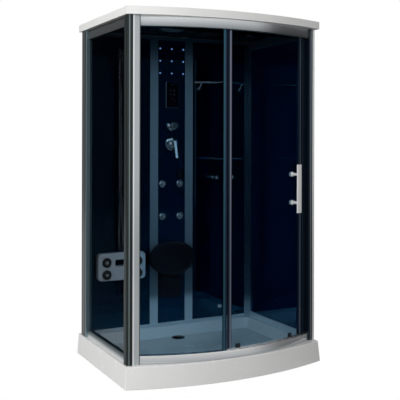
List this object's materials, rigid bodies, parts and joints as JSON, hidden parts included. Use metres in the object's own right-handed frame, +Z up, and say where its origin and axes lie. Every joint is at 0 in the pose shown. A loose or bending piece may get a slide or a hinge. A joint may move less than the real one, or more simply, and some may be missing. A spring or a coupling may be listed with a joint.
{
  "type": "steam shower cabin",
  "caption": "Bowed-front steam shower cabin: white tray and roof, aluminium frame, tinted glass, sliding curved door, mirror-dark walls with a column of controls and jets.",
  "frame": {"origin": "on the floor, at the centre of the plan outline's bounding box", "axes": "+Z up, -Y out through the bowed door, +X to the right seen from the front"},
  "size_m": [1.32, 0.9748, 2.21],
  "materials": {
    "white_acrylic": "glossy moulded acrylic, white",
    "aluminium_frame": "polished anodised, fine vertical lines",
    "dark_profile": "satin anodised, seen through tinted glass",
    "tinted_glass": "smooth, blue-grey tint",
    "back_glass": "painted behind, gloss blue-black",
    "chrome": "mirror polished",
    "black_plastic": "gloss black",
    "matte_black": "fine grain",
    "clear_acrylic": "polished clear acrylic",
    "seal_grey": "smooth translucent grey",
    "lamp_blue": "frosted blue lens",
    "lamp_white": "frosted white lens",
    "steel_frame": "galvanised grey",
    "grey_plastic": "smooth moulded grey",
    "white_plastic": "smooth moulded white",
    "pipe_white": "extruded white pipe"
  },
  "bodies": {
    "cabin": {"tray": "white_acrylic", "roof": "white_acrylic", "drain_cover": "chrome", "waste_trap": "white_plastic", "tray_frame": "steel_frame", "post_front_left": "aluminium_frame", "post_front_right": "aluminium_frame", "post_back_left": "aluminium_frame", "post_back_right": "dark_profile", "rail_bottom_front": "aluminium_frame", "rail_top_front": "aluminium_frame", "rails_left": "aluminium_frame", "wall_profiles": "dark_profile", "glass_left": "tinted_glass", "glass_front": "tinted_glass", "glass_seal": "seal_grey", "back_panel_left": "back_glass", "back_panel_right": "back_glass", "column_panel": "back_glass", "side_panel_right": "back_glass", "led_lamps": "lamp_blue", "control_panel": "black_plastic", "diverter_valve": "chrome", "mixer_valve": "chrome", "jet_bodies": "chrome", "robe_hook": "black_plastic", "seat_bracket": "black_plastic", "massager_body": "white_plastic", "massager_pads": "black_plastic", "riser_rail": "chrome", "shower_hose": "chrome", "towel_rail": "chrome", "shelf": "clear_acrylic", "shelf_rail": "chrome", "steam_outlet": "chrome", "rain_arm": "chrome", "ceiling_lamp": "lamp_white", "fan_unit": "matte_black", "speaker": "matte_black", "steam_generator": "steel_frame", "control_box": "white_plastic", "pipes": "pipe_white"},
    "door": {"door_glass": "tinted_glass", "door_strips": "seal_grey", "door_handle": "chrome", "roller_carriers": "matte_black"},
    "top_wheel_left": {"wheel_left": "grey_plastic"},
    "top_wheel_right": {"wheel_right": "grey_plastic"},
    "folding_seat": {"seat": "black_plastic"},
    "tap_cap": {"mixer_cap": "chrome"},
    "tap_lever": {"mixer_lever": "chrome"},
    "diverter": {"diverter_knob": "chrome"},
    "nozzle_high_left": {"jet_nozzle_1": "grey_plastic"},
    "nozzle_high_right": {"jet_nozzle_2": "grey_plastic"},
    "nozzle_low_left": {"jet_nozzle_3": "grey_plastic"},
    "nozzle_low_right": {"jet_nozzle_4": "grey_plastic"},
    "rail_slider": {"slider": "chrome"},
    "hand_shower": {"handset": "black_plastic"},
    "fan": {"fan_wheel": "matte_black"},
    "rain_shower": {"rain_head": "chrome"}
  },
  "joints": [
    {"name": "door_slide", "type": "hinge", "parent": "cabin", "child": "door", "pos_m": [0, 0.9075, 1.1], "axis": [0, 0, -1], "range_deg": [0, 19.5]},
    {"name": "wheel_left_spin", "type": "hinge", "parent": "door", "child": "top_wheel_left", "pos_m": [0.02809, -0.43371, 2.0671], "axis": [0.0209, -0.9998, 0], "continuous": true},
    {"name": "wheel_right_spin", "type": "hinge", "parent": "door", "child": "top_wheel_right", "pos_m": [0.42566, -0.36468, 2.0671], "axis": [0.3173, -0.9483, 0], "continuous": true},
    {"name": "seat_fold", "type": "hinge", "parent": "cabin", "child": "folding_seat", "pos_m": [-0.004, 0.4005, 0.448], "axis": [1, 0, 0], "range_deg": [0, 90]},
    {"name": "tap_turn", "type": "hinge", "parent": "cabin", "child": "tap_cap", "pos_m": [-0.004, 0.4225, 1.373], "axis": [0, -1, 0], "range_deg": [-45, 45]},
    {"name": "lever_lift", "type": "hinge", "parent": "tap_cap", "child": "tap_lever", "pos_m": [-0.004, 0.4115, 1.3862], "axis": [-1, 0, 0], "range_deg": [0, 20]},
    {"name": "diverter_turn", "type": "hinge", "parent": "cabin", "child": "diverter", "pos_m": [-0.004, 0.4125, 1.497], "axis": [0, -1, 0], "range_deg": [-90, 90]},
    {"name": "nozzle_high_left_tilt", "type": "hinge", "parent": "cabin", "child": "nozzle_high_left", "pos_m": [-0.069, 0.4425, 1.1], "axis": [1, 0, 0], "range_deg": [-12, 12]},
    {"name": "nozzle_high_right_tilt", "type": "hinge", "parent": "cabin", "child": "nozzle_high_right", "pos_m": [0.061, 0.4425, 1.1], "axis": [1, 0, 0], "range_deg": [-12, 12]},
    {"name": "nozzle_low_left_tilt", "type": "hinge", "parent": "cabin", "child": "nozzle_low_left", "pos_m": [-0.069, 0.4425, 0.877], "axis": [1, 0, 0], "range_deg": [-12, 12]},
    {"name": "nozzle_low_right_tilt", "type": "hinge", "parent": "cabin", "child": "nozzle_low_right", "pos_m": [0.061, 0.4425, 0.877], "axis": [1, 0, 0], "range_deg": [-12, 12]},
    {"name": "slider_travel", "type": "slide", "parent": "cabin", "child": "rail_slider", "axis": [0, 0, 1], "range_m": [-0.6, 0.09], "deforming": ["shower_hose"]},
    {"name": "handset_tilt", "type": "hinge", "parent": "rail_slider", "child": "hand_shower", "pos_m": [-0.4, 0.3505, 1.806], "axis": [1, 0, 0], "range_deg": [-3, 14], "deforming": ["shower_hose"]},
    {"name": "fan_spin", "type": "hinge", "parent": "cabin", "child": "fan", "pos_m": [0.175, 0.192, 2.13], "axis": [0, 0, 1], "continuous": true},
    {"name": "rain_swivel", "type": "hinge", "parent": "cabin", "child": "rain_shower", "pos_m": [0.4, -0.087, 2.1078], "axis": [1, 0, 0], "range_deg": [-4, 4]}
  ],
  "couplings": [
    {"joint": "wheel_left_spin", "follows": "door_slide", "ratio": 111.79},
    {"joint": "wheel_right_spin", "follows": "door_slide", "ratio": 111.79}
  ]
}
